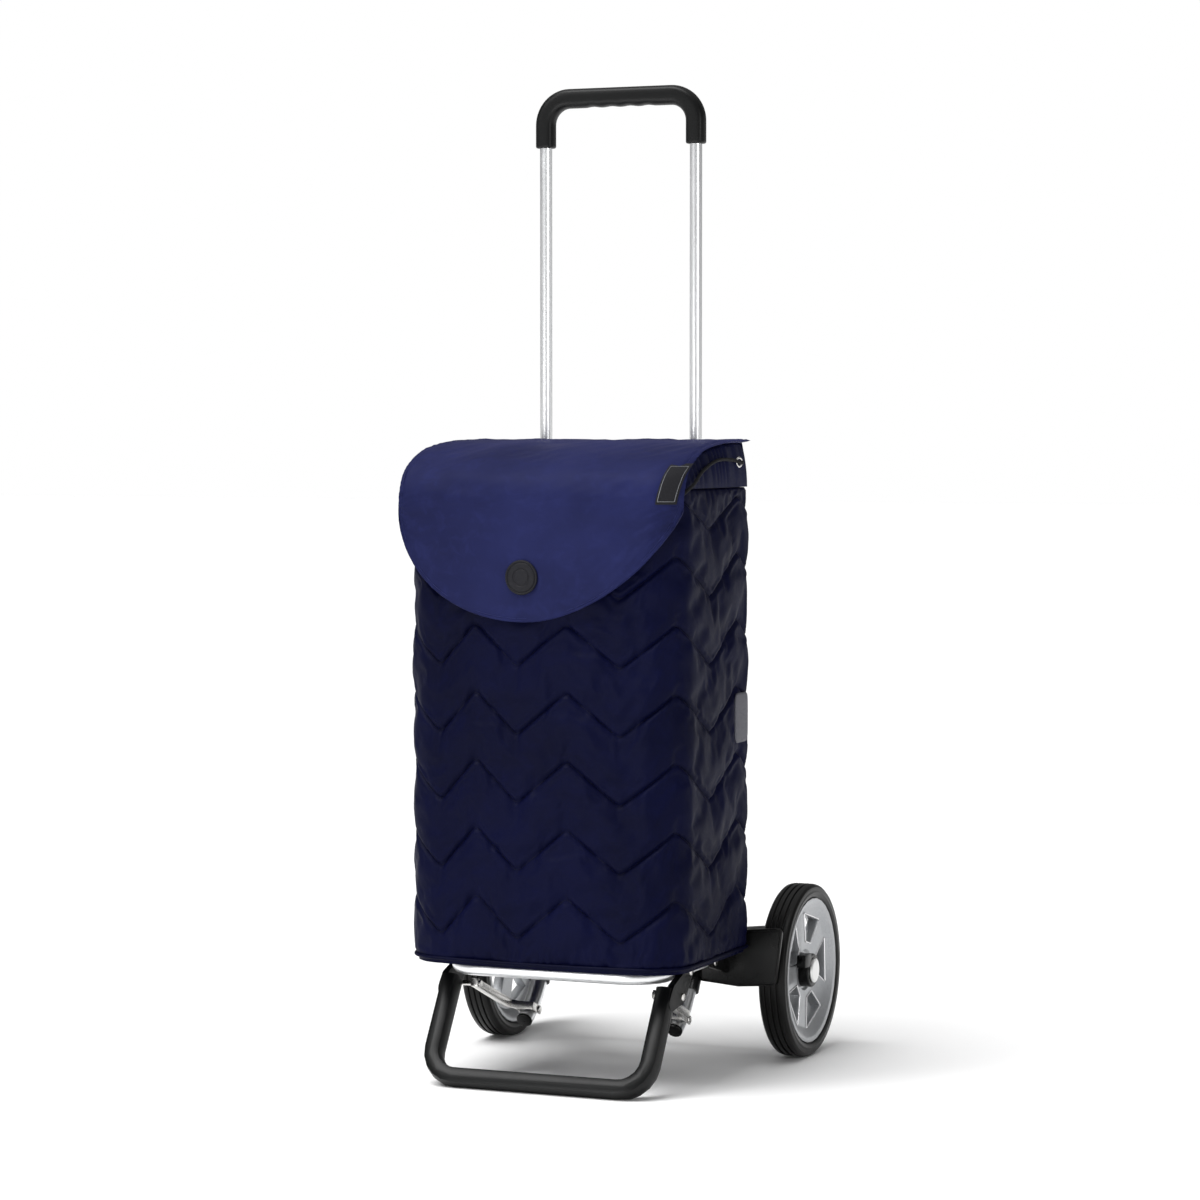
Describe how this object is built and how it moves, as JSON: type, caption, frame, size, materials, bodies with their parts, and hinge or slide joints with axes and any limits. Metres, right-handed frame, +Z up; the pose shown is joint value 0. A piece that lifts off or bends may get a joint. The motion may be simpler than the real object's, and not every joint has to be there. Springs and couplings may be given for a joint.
{
  "type": "shopping trolley",
  "caption": "Two-wheeled shopping trolley with a soft quilted bag under a rounded lid, telescopic handle, folding shelf and foot on a bent tube frame.",
  "frame": {"origin": "middle of the footprint, on the floor", "axes": "+Z up; the bag and its lid face -Y; the wheels turn about X"},
  "size_m": [0.4118, 0.4568, 1.1179],
  "materials": {
    "aluminium": "satin",
    "steel": "polished",
    "black_plastic": "satin",
    "grip_plastic": "satin",
    "rubber": "matte",
    "rim_plastic": "metallic satin",
    "navy_fabric": "soft sheen",
    "lid_fabric": "soft sheen",
    "black_trim": "matte",
    "reflective": "satin",
    "board": "matte"
  },
  "bodies": {
    "frame": {"left_frame_tube": "aluminium", "right_frame_tube": "aluminium", "left_tube_plug": "black_plastic", "right_tube_plug": "black_plastic", "upper_bridge": "black_plastic", "left_guide_bush": "black_plastic", "right_guide_bush": "black_plastic", "cross_axle": "steel", "left_axle_washer": "steel", "right_axle_washer": "steel", "left_axle_housing": "black_plastic", "right_axle_housing": "black_plastic", "left_shelf_pin": "steel", "right_shelf_pin": "steel", "left_link_rivet": "steel", "right_link_rivet": "steel", "bag_body": "navy_fabric", "hem_piping": "navy_fabric", "bag_collar": "navy_fabric", "left_eyelet": "steel", "right_eyelet": "steel", "drawstring": "black_trim", "cord_lock": "black_plastic", "left_reflector": "reflective", "right_reflector": "reflective", "left_hanger_loop": "black_trim", "right_hanger_loop": "black_trim", "bag_magnet": "black_trim"},
    "handle": {"handle_tube": "aluminium", "handle_grip": "grip_plastic", "left_handle_glide": "black_plastic", "right_handle_glide": "black_plastic"},
    "button": {"height_button": "black_plastic"},
    "left_wheel": {"left_tyre": "rubber", "left_rim": "rim_plastic", "left_hub_bush": "black_plastic"},
    "right_wheel": {"right_tyre": "rubber", "right_rim": "rim_plastic", "right_hub_bush": "black_plastic"},
    "left_release": {"left_release_collar": "black_plastic", "left_hub_cap": "aluminium"},
    "right_release": {"right_release_collar": "black_plastic", "right_hub_cap": "aluminium"},
    "shelf": {"shelf_tube": "aluminium"},
    "foot": {"foot_loop": "black_plastic", "left_foot_hinge_pin": "steel", "right_foot_hinge_pin": "steel", "left_foot_rivet": "steel", "right_foot_rivet": "steel"},
    "left_link_body": {"left_link": "steel", "left_link_eye_pin": "steel"},
    "right_link_body": {"right_link": "steel", "right_link_eye_pin": "steel"},
    "board": {"base_board": "board"},
    "lid": {"lid_flap": "lid_fabric", "closure_patch": "black_trim", "lid_magnet": "black_trim", "label_tab": "black_trim"},
    "plunger": {"cord_lock_plunger": "black_plastic"}
  },
  "joints": [
    {"name": "handle_slide", "type": "slide", "parent": "frame", "child": "handle", "axis": [0, 0, -1], "range_m": [0, 0.345]},
    {"name": "height_release", "type": "slide", "parent": "frame", "child": "button", "axis": [0, -1, 0], "range_m": [0, 0.003], "stiffness_N_per_m": 300, "springref_m": -0.003},
    {"name": "left_wheel_spin", "type": "hinge", "parent": "frame", "child": "left_wheel", "pos_m": [-0.1867, 0.1284, 0.1], "axis": [1, 0, 0], "continuous": true},
    {"name": "right_wheel_spin", "type": "hinge", "parent": "frame", "child": "right_wheel", "pos_m": [0.1867, 0.1284, 0.1], "axis": [1, 0, 0], "continuous": true},
    {"name": "left_wheel_release", "type": "hinge", "parent": "left_wheel", "child": "left_release", "pos_m": [-0.1867, 0.1284, 0.1], "axis": [1, 0, 0], "range_deg": [0, 25], "stiffness_Nm_per_rad": 0.1, "springref_deg": -11.46},
    {"name": "right_wheel_release", "type": "hinge", "parent": "right_wheel", "child": "right_release", "pos_m": [0.1867, 0.1284, 0.1], "axis": [1, 0, 0], "range_deg": [0, 25], "stiffness_Nm_per_rad": 0.1, "springref_deg": -11.46},
    {"name": "shelf_fold", "type": "hinge", "parent": "frame", "child": "shelf", "pos_m": [0, -0.0216, 0.127], "axis": [-1, 0, 0], "range_deg": [0, 75], "deforming": ["bag_body", "hem_piping", "bag_collar"]},
    {"name": "foot_fold", "type": "hinge", "parent": "shelf", "child": "foot", "pos_m": [0, -0.1006, 0.127], "axis": [-1, 0, 0], "range_deg": [-111, 0]},
    {"name": "left_link_swing", "type": "hinge", "parent": "frame", "child": "left_link_body", "pos_m": [-0.0929, -0.01601, 0.05792], "axis": [-1, 0, 0], "range_deg": [0, 51]},
    {"name": "right_link_swing", "type": "hinge", "parent": "frame", "child": "right_link_body", "pos_m": [0.0929, -0.01601, 0.05792], "axis": [-1, 0, 0], "range_deg": [0, 51]},
    {"name": "board_fold", "type": "hinge", "parent": "frame", "child": "board", "pos_m": [0, 0.01, 0.1413], "axis": [-1, 0, 0], "range_deg": [0, 90]},
    {"name": "lid_open", "type": "hinge", "parent": "frame", "child": "lid", "pos_m": [0, 0.015, 0.7143], "axis": [-1, 0, 0], "range_deg": [0, 90]},
    {"name": "cord_lock_press", "type": "slide", "parent": "frame", "child": "plunger", "axis": [0, 0, -1], "range_m": [0, 0.0015], "stiffness_N_per_m": 200, "springref_m": -0.003}
  ],
  "couplings": [
    {"joint": "foot_fold", "follows": "shelf_fold", "ratio": -1.47},
    {"joint": "left_link_swing", "follows": "shelf_fold", "ratio": 0.67},
    {"joint": "right_link_swing", "follows": "shelf_fold", "ratio": 0.67},
    {"joint": "board_fold", "follows": "shelf_fold", "ratio": 1.2}
  ]
}
